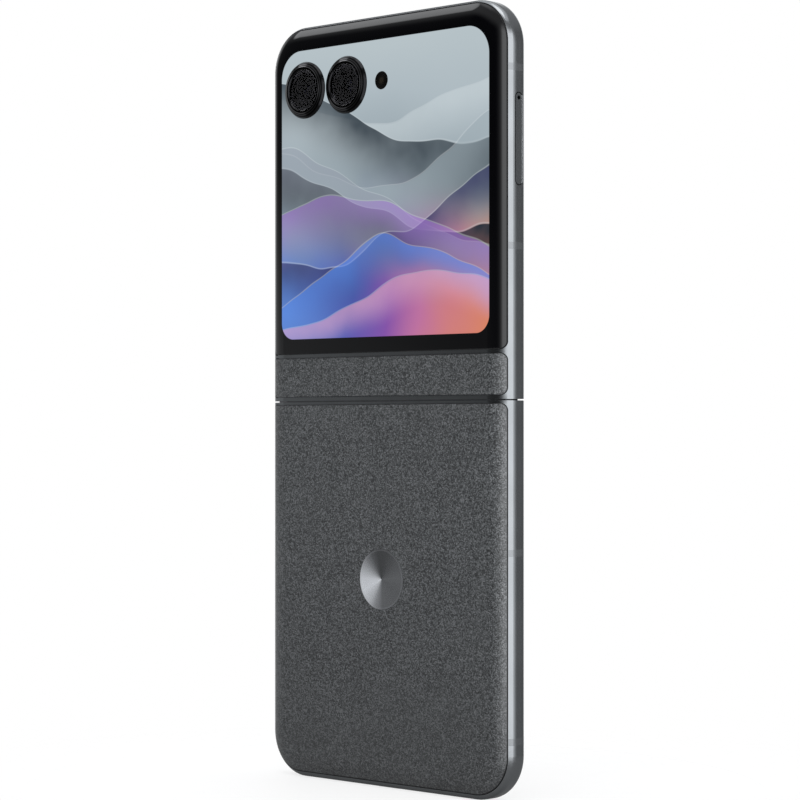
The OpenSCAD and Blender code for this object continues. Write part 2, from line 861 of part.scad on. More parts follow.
module upper_blank() {
    difference() {
        frame_blank(upper_half_bar_z);
        panel_recess(panel_w, strip_a, strip_b, panel_small_r, panel_small_r);
        panel_recess(panel_w, glass_end, glass_b, glass_high_r, panel_small_r);
    }
}

module upper_frame() {
    color("slategray") difference() {
        flip() difference() {
            upper_blank();
            bands(upper_bands);
        }
        // Buttons: a hole through the wall and a wider pocket for each flange behind it
        along_x(wall_x - 1, side_x + 1) {
            stadium_2d(button_y, rocker_z, button_w + 2 * button_gap, rocker_l + 2 * button_gap);
            stadium_2d(button_y, power_z, button_w + 2 * button_gap, power_l + 2 * button_gap);
        }
        box(wall_x - 1, pocket_x, button_y - button_w / 2 - 0.5, button_y + button_w / 2 + 0.5,
            power_z - power_l / 2 - 1, rocker_z + rocker_l / 2 + 1);
        // Card tray: its door's seat and a slot for the plate behind it
        along_x(-side_x - 1, -side_x + tray_door_t + 0.05)
            stadium_2d(tray_y, tray_z, tray_w + 2 * tray_gap, tray_l + 2 * tray_gap);
        box(-side_x, -wall_x + 1, tray_y - tray_plate_t / 2 - tray_gap,
            tray_y + tray_plate_t / 2 + tray_gap,
            tray_z - tray_plate_w / 2 - tray_gap, tray_z + tray_plate_w / 2 + tray_gap);
        rod_x(tray_y, tray_z + tray_l / 2 - tray_w / 2, eject_d / 2, -side_x, -wall_x + 1);
        translate([mic_x, usb_y, body_h - wall_t - 2]) cylinder(d = mic_d, h = wall_t + 3);
    }
}

module upper_antenna_bands() {
    color("gray") flip() intersection() {
        half_form(0, half_end);
        bands(upper_bands);
    }
}

module strip_panel() {
    color([0.32, 0.33, 0.34]) flip()
        panel(panel_w, strip_a, strip_b, panel_small_r, panel_small_r);
}

module cover_glass() {
    color([0.03, 0.03, 0.04]) difference() {
        flip() panel(panel_w, glass_end, glass_b, glass_high_r, panel_small_r);
        for (x = [main_camera_x, wide_camera_x]) {
            rod_y(x, camera_z, ring_stem_r + seat_gap, 0, body_t);
        }
        rod_y(flash_x, camera_z, flash_d / 2 + 0.03, 0, body_t);
    }
}

module cover_display() {
    color([0.6, 0.65, 0.7]) difference() {
        intersection() {
            slab(panel_low_y - cover_t, panel_low_y - 0.01)
                plate_2d(cover_w, cover_z0, cover_z1, cover_low_r, cover_top_r);
            flip() half_form(panel_t + 0.01, half_end);
        }
        for (x = [main_camera_x, wide_camera_x]) {
            rod_y(x, camera_z, ring_stem_r + 2 * seat_gap, 0, body_t);
        }
        rod_y(flash_x, camera_z, flash_d / 2 + 0.1, 0, body_t);
    }
}

// Stepped ring: a wide foot on the glass, a sloping side, a raised lip and a seat for the window
module camera_ring(x) {
    foot_r = ring_d / 2;
    lip_r = lens_d / 2 + 0.25;
    window_r = lens_d / 2 + 0.03;
    color("black") translate([x, back_y, camera_z]) rotate([-90, 0, 0])
        rotate_extrude($fn = 96) polygon([
            [3.9, -1.3], [ring_stem_r, -1.3], [ring_stem_r, 0], [foot_r, 0], [foot_r, 0.25],
            [foot_r - 0.3, 0.6 * ring_h], [lip_r + 0.45, ring_h], [lip_r, ring_h],
            [window_r, ring_h - 0.25], [window_r, ring_h - 0.3 - lens_t],
            [3.9, ring_h - 0.3 - lens_t]]);
}

module camera_window(x) {
    y0 = back_y + ring_h - 0.28 - lens_t;
    color([0.05, 0.05, 0.07]) rod_y(x, camera_z, lens_d / 2, y0, y0 + lens_t);
}

// Sensor box with a barrel that reaches up into the ring. The barrel's mouth is turned: a domed
// front lens, a groove round it and two steps out to a sloping rim.
module camera_module(x, box_half, barrel_r) {
    lens_r = 0.35 * barrel_r;
    groove_r = 0.39 * barrel_r;
    step_r = 0.54 * barrel_r;
    rim_r = 0.68 * barrel_r;
    mouth_r = 0.84 * barrel_r;
    color([0.12, 0.12, 0.13]) difference() {
        union() {
            box(x - box_half, x + box_half, part_y, module_top_y, camera_z - box_half,
                camera_z + box_half);
            rod_y(x, camera_z, barrel_r, module_top_y - 0.1, back_y + 0.15);
        }
        translate([x, back_y, camera_z]) rotate([-90, 0, 0]) rotate_extrude() polygon([
            [0, -0.75], [0.45 * lens_r, -0.8], [0.85 * lens_r, -0.95], [lens_r, -1.05],
            [groove_r, -1.05], [groove_r, -0.85], [step_r, -0.8], [step_r, -0.5],
            [rim_r, -0.45], [mouth_r, 0.2], [0, 0.2]]);
    }
}

module main_camera_ring() {
    camera_ring(main_camera_x);
}

module wide_camera_ring() {
    camera_ring(wide_camera_x);
}

module main_camera_window() {
    camera_window(main_camera_x);
}

module wide_camera_window() {
    camera_window(wide_camera_x);
}

module main_camera_module() {
    camera_module(main_camera_x, main_camera_half, main_barrel_r);
}

module wide_camera_module() {
    camera_module(wide_camera_x, wide_camera_half, wide_barrel_r);
}

module flash_window() {
    color([0.15, 0.14, 0.1]) rod_y(flash_x, camera_z, flash_d / 2, panel_low_y, back_y - 0.02);
}

module flash_lamp() {
    color("khaki") {
        rod_y(flash_x, camera_z, 1.3, part_y, panel_low_y - 0.4);
        box(flash_x - 1.1, flash_x + 1.1, panel_low_y - 0.45, panel_low_y - seat_gap,
            camera_z - 1.1, camera_z + 1.1);
    }
}

module upper_chassis() {
    color("lightslategray") difference() {
        flip() chassis_part();
        rod_y(0, body_h - front_camera_top, front_camera_d / 2 + 0.1, front_y, back_y);
    }
}

module upper_bezel() {
    color([0.08, 0.08, 0.09]) difference() {
        flip() bezel();
        slab(front_y - 1, backing_y) translate([0, body_h - 2.3])
            square([10, 0.45], center = true);
    }
}

module display_upper() {
    color("black") difference() {
        flip() display_part();
        rod_y(0, body_h - front_camera_top, front_camera_d / 2, front_y, back_y);
    }
}

module upper_display_plate() {
    color("silver") difference() {
        flip() backing_part();
        rod_y(0, body_h - front_camera_top, front_camera_d / 2 + 0.1, front_y, back_y);
    }
}

// ---------------------------------------------------------------- upper half, inside

module front_camera() {
    z = body_h - front_camera_top;
    color([0.08, 0.08, 0.1]) difference() {
        union() {
            rod_y(0, z, front_camera_d / 2 - 0.05, screen_y + 0.05, inside_y + 0.1);
            box(-front_camera_half, front_camera_half, inside_y, inside_y + 2.6,
                z - front_camera_half, z + front_camera_half);
        }
        translate([0, screen_y, z]) rotate([-90, 0, 0])
            cylinder(r1 = front_camera_d / 2 - 0.5, r2 = 0.4, h = 0.5);
    }
}

earpiece_z = body_h - wall_t - 4.2;

module earpiece() {
    color([0.1, 0.1, 0.1])
        box(4, 16, inside_y, inside_y + 2.4, earpiece_z, earpiece_z + 3.7);
}

board_w = body_w - 2 * lower_cavity - 1;
board_z1 = earpiece_z - 0.7;
board_z0 = board_z1 - main_board_l;

module main_board() {
    color("darkgreen") difference() {
        slab(inside_y, board_y) plate_2d(board_w, board_z0, board_z1, 1, 4);
        box(-board_notch, board_notch, -body_t, body_t,
            body_h - front_camera_top - board_notch, body_h);
    }
}

// Pressed lid, open towards the board
module shield_can(x0, x1, z0, z1, h) {
    difference() {
        box(x0, x1, part_y, part_y + h, z0, z1);
        box(x0 + 0.2, x1 - 0.2, part_y - 1, part_y + h - 0.2, z0 + 0.2, z1 - 0.2);
    }
}

module shield_cans() {
    side = board_w / 2 - 2.9;
    color("gainsboro") {
        shield_can(-14, 14, board_z0 + 1, board_z0 + 20.5, 1.8);
        shield_can(16, side, board_z0 + 1, board_z0 + 18, 1.4);
        shield_can(-side, flash_x - 4, board_z0 + 22.5, board_z0 + 31, 1.8);
    }
}

module upper_battery() {
    color([0.15, 0.15, 0.17])
        slab(inside_y, inside_y + battery_t)
            plate_2d(body_w - 2 * upper_battery_side, body_h - foot_z0 + battery_gap,
                board_z0 - battery_gap, 2, 2);
}

module upper_screws() {
    color("gainsboro") {
        flip() hinge_screws();
        for (s = [-1, 1]) {
            rod_y(s * (board_w / 2 - 1.5), board_z0 + 1.6, screw_head_r, part_y, part_y + 0.4);
        }
    }
}

tray_x1 = -side_x + tray_door_t + tray_reach;

// Steel sleeve that the tray's plate slides into
module card_reader() {
    inner = tray_plate_t / 2 + tray_gap;
    color("gainsboro") difference() {
        box(-wall_x + 0.2, tray_x1 + 0.6, tray_y - inner - 0.15, tray_y + inner + 0.2,
            tray_z - tray_plate_w / 2 - 0.6, tray_z + tray_plate_w / 2 + 0.6);
        box(-wall_x - 1, tray_x1 + 0.2, tray_y - inner, tray_y + inner,
            tray_z - tray_plate_w / 2 - tray_gap, tray_z + tray_plate_w / 2 + tray_gap);
    }
}

// Flexible strip behind the buttons with a domed switch under each end of the rocker
module button_switches() {
    dome_h = 0.4;
    strip_x = flange_x - flange_t - button_travel - seat_gap - dome_h - 0.3;
    color("saddlebrown") {
        box(strip_x, strip_x + 0.3, button_y - 1.3, button_y + 1.3,
            power_z - power_l / 2, rocker_z + rocker_l / 2);
        for (z = [power_z, rocker_z - rocker_l / 3, rocker_z + rocker_l / 3]) {
            rod_x(button_y, z, 1, strip_x + 0.2, strip_x + 0.3 + dome_h);
        }
    }
}

module top_microphone() {
    color("goldenrod")
        box(mic_x - 1.8, mic_x + 1.8, inside_y, inside_y + 1.2,
            body_h - wall_t - 3, body_h - wall_t - 0.1);
}

// ---------------------------------------------------------------- moving side parts

// A button: its cap stands out of the wall and its flange lies in the pocket behind it
module side_button(z, l) {
    along_x(flange_x - flange_t, side_x + button_h) stadium_2d(button_y, z, button_w, l);
    along_x(flange_x - flange_t, flange_x)
        stadium_2d(button_y, z, button_w + 0.7, l + 1);
}

module power_button() {
    color("slategray") side_button(power_z, power_l);
}

// The rocker turns on a rounded ridge across the middle of its inner face
module volume_rocker() {
    color("slategray") {
        side_button(rocker_z, rocker_l);
        rod_y(flange_x - flange_t + 0.02, rocker_z, fulcrum_r, button_y - 0.8, button_y + 0.8);
    }
}

module card_tray() {
    color("slategray") difference() {
        union() {
            intersection() {
                along_x(-side_x, -side_x + tray_door_t)
                    stadium_2d(tray_y, tray_z, tray_w, tray_l);
                flip() half_form(0, half_end);
            }
            box(-side_x + tray_door_t - 0.2, tray_x1, tray_y - tray_plate_t / 2,
                tray_y + tray_plate_t / 2, tray_z - tray_plate_w / 2, tray_z + tray_plate_w / 2);
        }
        box(tray_x1 - sim_w - 1.6, tray_x1 - 1.4, tray_y - tray_plate_t / 2 + 0.15, body_t,
            tray_z - sim_l / 2 - 0.1, tray_z + sim_l / 2 + 0.1);
        rod_x(tray_y, tray_z + tray_l / 2 - tray_w / 2, eject_d / 2, -side_x - 1, -wall_x);
    }
}

module sim_card() {
    low = tray_y - tray_plate_t / 2 + 0.15;
    color("gold")
        box(tray_x1 - sim_w - 1.5, tray_x1 - 1.5, low, low + sim_t,
            tray_z - sim_l / 2, tray_z + sim_l / 2);
}

lower_frame();
lower_chassis();
lower_back_panel();
back_badge();
lower_antenna_bands();
lower_bezel();
display_lower();
lower_display_plate();
lower_battery();
charging_coil();
coil_ferrite();
usb_socket_shell();
usb_socket_tongue();
usb_board();
loudspeaker();
speaker_mesh();
vibration_motor();
bottom_microphone();
board_flex_cable();
lower_hinge_arms();
lower_screws();
spine_cover();
hinge_brackets();
hinge_pins();
friction_washers();
display_fold();
hinge_flex_cables();
lower_idler_gears();
upper_idler_gears();
upper_frame();
upper_chassis();
cover_glass();
cover_display();
strip_panel();
main_camera_ring();
wide_camera_ring();
main_camera_window();
wide_camera_window();
main_camera_module();
wide_camera_module();
flash_window();
flash_lamp();
upper_antenna_bands();
upper_bezel();
display_upper();
upper_display_plate();
front_camera();
earpiece();
main_board();
shield_cans();
upper_battery();
upper_hinge_arms();
upper_screws();
card_reader();
button_switches();
top_microphone();
power_button();
volume_rocker();
card_tray();
sim_card();
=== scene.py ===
import math

import bmesh
import bpy
from mathutils import Matrix, Vector


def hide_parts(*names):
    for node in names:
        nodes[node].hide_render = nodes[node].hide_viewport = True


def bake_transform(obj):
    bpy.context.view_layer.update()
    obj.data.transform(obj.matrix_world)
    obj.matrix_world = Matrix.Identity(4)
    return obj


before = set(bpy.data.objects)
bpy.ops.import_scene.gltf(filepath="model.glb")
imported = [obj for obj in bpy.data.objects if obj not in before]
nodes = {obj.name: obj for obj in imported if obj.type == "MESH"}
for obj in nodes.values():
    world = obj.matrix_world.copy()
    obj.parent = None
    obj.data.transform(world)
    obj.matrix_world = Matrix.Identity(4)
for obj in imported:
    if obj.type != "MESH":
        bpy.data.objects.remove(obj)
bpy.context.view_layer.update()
MM = 0.001

# ------------------------------------------------------------------ sizes that part.scad has too

HALF_W = 37.0
HEIGHT = 171.3
MID_Z = HEIGHT / 2
AXIS_Z = 83.425
SCREEN_EDGE = 2.75
SCREEN_CORNER = 7.25
SCREEN_FRONT = -3.475
SCREEN_BACK = -3.025
FRONT_CAMERA_Z = 163.1
FRONT_CAMERA_R = 1.75
CAMERA_Z = 156.5
MAIN_CAMERA_X = 11.0
MAIN_BARREL_R = 3.7
WIDE_CAMERA_X = 24.5
WIDE_BARREL_R = 3.4
BADGE_Z = 46.2
TRAY_Y = -0.825
TRAY_Z = 141.05
# Half of the straight part of the tray door's long sides, and the radius of its round ends
TRAY_STRAIGHT = 8.7
TRAY_R = 1.15
# Half width, ends, and lower and upper corner radius of each outer panel and the cover display
LOWER_PANEL = (36.4, 1.3, 84.9, 8.7, 1.5)
STRIP_PANEL = (36.4, 86.68, 95.55, 1.5, 1.5)
GLASS_PANEL = (36.4, 96.45, 170.6, 1.5, 9.3)
COVER_DISPLAY = (32.5, 99.9, 165.6, 3.8, 6.3)

# ------------------------------------------------------------------ camera

# Solved from the photograph: it stands level with the phone, half to its back and half to its side
cam_data = bpy.data.cameras.new("camera")
cam_data.sensor_width = 36
cam_data.lens = 116.85
cam_data.shift_y = 0.0356
cam_data.clip_start = 0.01
camera = bpy.data.objects.new("camera", cam_data)
bpy.context.scene.collection.objects.link(camera)
camera.location = (-0.4081, 0.4070, 0.07954)
camera.rotation_euler = (math.radians(90), 0, math.atan2(-0.70614, -0.70807))
bpy.context.scene.camera = camera

# ------------------------------------------------------------------ light

scene = bpy.context.scene
scene.view_settings.view_transform = "Standard"


def area(name, at, towards, size, power):
    data = bpy.data.lights.new(name, "AREA")
    data.shape = "RECTANGLE"
    data.size = data.size_y = size
    data.energy = power
    lamp = bpy.data.objects.new(name, data)
    scene.collection.objects.link(lamp)
    lamp.location = at
    lamp.rotation_euler = (Vector(towards) - Vector(at)).to_track_quat("-Z", "Y").to_euler()


area("top_softbox", (-0.15, 0.25, 1.3), (0, 0, 0.05), 0.7, 3)


class Tree:
    """Short helpers for building a node tree."""

    def __init__(self, tree):
        self.tree = tree
        tree.nodes.clear()

    def node(self, kind, **settings):
        n = self.tree.nodes.new(kind)
        for key, value in settings.items():
            setattr(n, key, value)
        return n

    def link(self, value, socket):
        if isinstance(value, bpy.types.NodeSocket):
            self.tree.links.new(value, socket)
        elif value is not None:
            socket.default_value = value

    def math(self, op, a, b=None, c=None):
        n = self.node("ShaderNodeMath", operation=op)
        for i, value in enumerate((a, b, c)):
            self.link(value, n.inputs[i])
        return n.outputs[0]

    def hypot(self, a, b):
        return self.math("SQRT", self.math("ADD", self.math("POWER", a, 2.0),
                                           self.math("POWER", b, 2.0)))

    def mix(self, factor, a, b, blend="MIX"):
        n = self.node("ShaderNodeMix", data_type="RGBA", blend_type=blend)
        self.link(factor, n.inputs[0])
        for value, i in ((a, 6), (b, 7)):
            if isinstance(value, (tuple, list)) and len(value) == 3:
                value = (*value, 1)
            self.link(value, n.inputs[i])
        return n.outputs[2]

    def step(self, value, low, high):
        n = self.node("ShaderNodeMapRange", interpolation_type="SMOOTHSTEP")
        self.link(value, n.inputs[0])
        n.inputs[1].default_value = low
        n.inputs[2].default_value = high
        return n.outputs[0]

    def ramp(self, value, *stops):
        n = self.node("ShaderNodeValToRGB")
        self.link(value, n.inputs[0])
        while len(n.color_ramp.elements) < len(stops):
            n.color_ramp.elements.new(0.5)
        for element, (at, colour) in zip(n.color_ramp.elements, stops):
            element.position = at
            element.color = (*colour, 1)
        return n.outputs[0]

    def place(self):
        """Object coordinates in millimetres."""
        scale = self.node("ShaderNodeVectorMath", operation="SCALE")
        self.link(self.node("ShaderNodeTexCoord").outputs["Object"], scale.inputs[0])
        scale.inputs["Scale"].default_value = 1 / MM
        return scale.outputs[0]

    def xyz(self, vector):
        split = self.node("ShaderNodeSeparateXYZ")
        self.link(vector, split.inputs[0])
        return split.outputs

    def noise(self, vector, scale, detail=2, rough=0.5):
        n = self.node("ShaderNodeTexNoise")
        self.link(vector, n.inputs["Vector"])
        n.inputs["Scale"].default_value = scale
        n.inputs["Detail"].default_value = detail
        n.inputs["Roughness"].default_value = rough
        return n.outputs["Fac"]

    def voronoi(self, vector, scale, output="Distance", feature="F1"):
        n = self.node("ShaderNodeTexVoronoi", feature=feature)
        self.link(vector, n.inputs["Vector"])
        n.inputs["Scale"].default_value = scale
        return n.outputs[output]

    def bump(self, height, strength, distance):
        n = self.node("ShaderNodeBump")
        self.link(height, n.inputs["Height"])
        n.inputs["Strength"].default_value = strength
        n.inputs["Distance"].default_value = distance * MM
        return n.outputs[0]

    def principled(self, **inputs):
        names = {
            "colour": "Base Color", "metal": "Metallic", "rough": "Roughness", "normal": "Normal",
            "ior": "IOR", "coat": "Coat Weight", "coat_rough": "Coat Roughness",
            "glow": "Emission Color", "glow_strength": "Emission Strength",
            "through": "Transmission Weight", "specular": "Specular IOR Level",
        }
        n = self.node("ShaderNodeBsdfPrincipled")
        for key, value in inputs.items():
            if isinstance(value, tuple) and len(value) == 3:
                value = (*value, 1)
            self.link(value, n.inputs[names[key]])
        return n.outputs[0]

    def surface(self, shader):
        self.link(shader, self.node("ShaderNodeOutputMaterial").inputs[0])

    def shader(self, **inputs):
        self.surface(self.principled(**inputs))


def new_material(name):
    m = bpy.data.materials.new(name)
    m.use_nodes = True
    return m, Tree(m.node_tree)


# Surroundings for reflections: a large softbox on the card tray's side, a pale wall on the far
# side and a softbox overhead. Directions are degrees round the phone, from +Y towards -X, and
# degrees up. The camera sees plain white instead, also through glass.
world = bpy.data.worlds.new("room")
world.use_nodes = True
scene.world = world
t = Tree(world.node_tree)
towards = t.node("ShaderNodeTexCoord").outputs["Generated"]
dx, dy, dz = t.xyz(towards)
around = t.math("MULTIPLY", t.math("ARCTAN2", t.math("MULTIPLY", dx, -1.0), dy), 180 / math.pi)
up = t.math("MULTIPLY", t.math("ARCSINE", dz), 180 / math.pi)
ROOM_TOP = 2.5
ROOM = [
    # degrees round, radiance
    (-180, 0.25), (-168, 0.5), (-160, 0.95), (-118, 0.95), (-100, 0.45), (-90, 0.42), (-49, 0.42),
    (-43, 0.11), (-38, 0.09), (-5, 0.05), (0, 0.12), (5, 0.30), (9, 0.55), (12, 1.1), (15, 2.1),
    (19, 2.4), (112, 2.4),
    (122, 1.2), (130, 0.35), (137, 0.24), (180, 0.25),
]
level = t.ramp(t.math("MULTIPLY_ADD", around, 1 / 360, 0.5), *[
    (a / 360 + 0.5, (v / ROOM_TOP,) * 3) for a, v in ROOM])
level = t.math("MULTIPLY", level, ROOM_TOP)
# The sector that the phone's back mirrors is dark above the horizon
dim = t.math("MULTIPLY", t.step(around, -100, -85), t.step(around, 0, -12))
low = t.math("MULTIPLY_ADD", t.step(up, 7, 0), 0.9, 0.1)
dim = t.math("ADD", t.math("MULTIPLY", dim, low), t.math("SUBTRACT", 1.0, dim))
level = t.math("MULTIPLY", level, dim)
# All that holds for a band round the horizon only; past it come dim walls and the overhead light
band = t.math("MULTIPLY", t.step(up, -58, -42), t.step(up, 40, 22))
level = t.math("ADD", t.math("MULTIPLY", level, band),
               t.math("MULTIPLY", t.math("SUBTRACT", 1.0, band), 0.4))
level = t.math("MAXIMUM", level, t.math("MULTIPLY", t.step(up, 46, 58), 1.3))
# A small lamp head high up on the left, which draws the line along the glass's upper edge
patch = t.node("ShaderNodeVectorMath", operation="DOT_PRODUCT")
t.link(towards, patch.inputs[0])
patch.inputs[1].default_value = (0.698, 0.254, 0.669)
lamp_head = t.math("MULTIPLY", t.step(patch.outputs["Value"], 0.972, 0.990), 2.2)
level = t.math("MAXIMUM", level, lamp_head)
path = t.node("ShaderNodeLightPath")
level = t.math("MULTIPLY_ADD", path.outputs["Is Diffuse Ray"], 0.12, level)
seen = t.math("MAXIMUM", path.outputs["Is Camera Ray"], path.outputs["Is Transmission Ray"])
room = t.node("ShaderNodeCombineXYZ")
for i, tint in enumerate((0.985, 1.0, 1.02)):
    t.link(t.math("MULTIPLY", level, tint), room.inputs[i])
background = t.node("ShaderNodeBackground")
t.link(t.mix(seen, room.outputs[0], (1, 1, 1)), background.inputs[0])
t.link(background.outputs[0], t.node("ShaderNodeOutputWorld").inputs[0])

# ------------------------------------------------------------------ materials

# Radii of the fine lines and rims that are colour only, where the camera rings' lines are painted
# highlights, and a height just below the outer face
LENS_MOUTH_R = 3.95
RING_GLINT_LINES_R = (5.28, 5.72)
BADGE_RIM_R = (6.25, 6.35)
NEAR_OUTER_FACE_Y = 3.4

def metal(name, colour, rough, grain=0.05, crowned=False, metallic=1.0):
    m, t = new_material(name)
    at = t.place()
    fine = t.noise(at, 6.0, 3, 0.6)
    broad = t.noise(at, 0.12, 2)
    shade = t.mix(t.step(broad, 0.3, 0.7), tuple(c * 0.96 for c in colour), tuple(
        min(1, c * 1.04) for c in colour))
    shade = t.mix(t.math("MULTIPLY", fine, 0.1), shade, tuple(c * 0.7 for c in colour))
    roughness = t.math("MULTIPLY_ADD", fine, 0.08, rough - 0.04)
    height = t.math("MULTIPLY", fine, 0.01 * grain)
    if crowned:
        # The flat side is faintly crowned: from y -0.3 on it leans towards the outer face, first
        # as a parabola and then along its tangent
        rise = t.math("MAXIMUM", t.math("ADD", t.xyz(at)[1], 0.3), 0.0)
        lean = t.math("MULTIPLY", t.math("POWER", t.math("MINIMUM", rise, 1.275), 2.0), -0.069)
        past = t.math("MULTIPLY", t.math("MAXIMUM", t.math("SUBTRACT", rise, 1.275), 0.0), -0.176)
        height = t.math("ADD", height, t.math("ADD", lean, past))
    t.shader(colour=shade, metal=metallic, rough=roughness, normal=t.bump(height, 1.0, 1.0))
    return m


def plastic(name, colour, rough=0.5, grain=0.2, scale=8.0):
    m, t = new_material(name)
    at = t.place()
    fine = t.noise(at, scale, 3, 0.6)
    shade = t.mix(fine, tuple(c * 0.82 for c in colour), tuple(min(1, c * 1.18) for c in colour))
    t.shader(colour=shade, rough=t.math("MULTIPLY_ADD", fine, 0.15, rough - 0.07),
             normal=t.bump(fine, grain, 0.01))
    return m


def tray_metal(name, colour, rough):
    """Frame metal; round the door a thin line is painted near-black as shade in its gap, and pale
    as a highlight on the side of the screen.
    """
    m, t = new_material(name)
    at = t.place()
    _, y, z = t.xyz(at)
    fine = t.noise(at, 6.0, 3, 0.6)
    rise = t.math("ABSOLUTE", t.math("SUBTRACT", z, TRAY_Z))
    along = t.math("MAXIMUM", t.math("SUBTRACT", rise, TRAY_STRAIGHT), 0.0)
    side = t.math("SUBTRACT", y, TRAY_Y)
    reach = t.math("SUBTRACT", t.hypot(along, side), TRAY_R)
    # Painted shade and highlight round the door: near-black in its gap, pale on the side of the
    # screen
    line = t.step(reach, -0.17, -0.12)
    far = t.step(side, -0.85, -0.95)
    edge = t.mix(far, (0.012, 0.012, 0.013), (0.72, 0.74, 0.76))
    shade = t.mix(t.math("MULTIPLY", fine, 0.1), colour, tuple(c * 0.7 for c in colour))
    t.shader(colour=t.mix(line, shade, edge), metal=1.0,
             rough=t.math("MULTIPLY_ADD", far, t.math("MULTIPLY", line, 0.35), rough),
             normal=t.bump(t.math("MULTIPLY", fine, 0.0004), 1.0, 1.0))
    return m


def panel_reach(t, x, z, half_w, z0, z1, low_r, high_r):
    """Distance past a panel's rounded outline, negative inside it."""
    rise = t.math("SUBTRACT", z, (z0 + z1) / 2)
    reach = []
    for radius in (low_r, high_r):
        dx = t.math("SUBTRACT", t.math("ABSOLUTE", x), half_w - radius)
        dz = t.math("SUBTRACT", t.math("ABSOLUTE", rise), (z1 - z0) / 2 - radius)
        out = t.hypot(t.math("MAXIMUM", dx, 0.0), t.math("MAXIMUM", dz, 0.0))
        out = t.math("ADD", out, t.math("MINIMUM", t.math("MAXIMUM", dx, dz), 0.0))
        reach.append(t.math("SUBTRACT", out, radius))
    upper = t.math("GREATER_THAN", rise, 0.0)
    return t.math("ADD", t.math("MULTIPLY", reach[1], upper),
                  t.math("MULTIPLY", reach[0], t.math("SUBTRACT", 1.0, upper)))


def outline(t, x, z, panel):
    """1 in the narrow cut edge all round a panel, 0 inside it and far outside it."""
    reach = panel_reach(t, x, z, *panel)
    return t.math("MULTIPLY", t.step(reach, -0.16, -0.10), t.step(reach, 0.3, 0.2))


def leather():
    """Pressed leather-like sheet: fine pebbles with pale and dark flecks between them."""
    m, t = new_material("leather_grain")
    at = t.place()
    x, _, z = t.xyz(at)
    cells = t.voronoi(at, 4.2)
    fleck = t.noise(at, 6.6, 3, 0.7)
    tint = t.voronoi(at, 4.2, "Color")
    split = t.node("ShaderNodeSeparateColor")
    t.link(tint, split.inputs[0])
    broad = t.noise(at, 0.09, 3)
    value = t.math("MULTIPLY_ADD", split.outputs[0], 0.3, t.math("MULTIPLY", fleck, 0.7))
    shade = t.ramp(value, (0.28, (0.002, 0.0022, 0.0024)), (0.42, (0.029, 0.031, 0.032)),
                   (0.56, (0.080, 0.084, 0.087)), (0.72, (0.200, 0.207, 0.212)))
    # Painted shade: a near-black line round each panel's outline darkens the gap beside it
    for panel in (LOWER_PANEL, STRIP_PANEL):
        shade = t.mix(outline(t, x, z, panel), shade, (0.004, 0.004, 0.005))
    duller = t.mix(1.0, shade, (0.93, 0.93, 0.93), "MULTIPLY")
    shade = t.mix(t.step(broad, 0.35, 0.7), shade, duller)
    height = t.math("MULTIPLY_ADD", cells, -0.022, t.math("MULTIPLY", fleck, 0.02))
    t.shader(colour=shade, rough=t.math("MULTIPLY_ADD", fleck, 0.14, 0.30), specular=0.9,
             normal=t.bump(height, 1.0, 1.0))
    return m


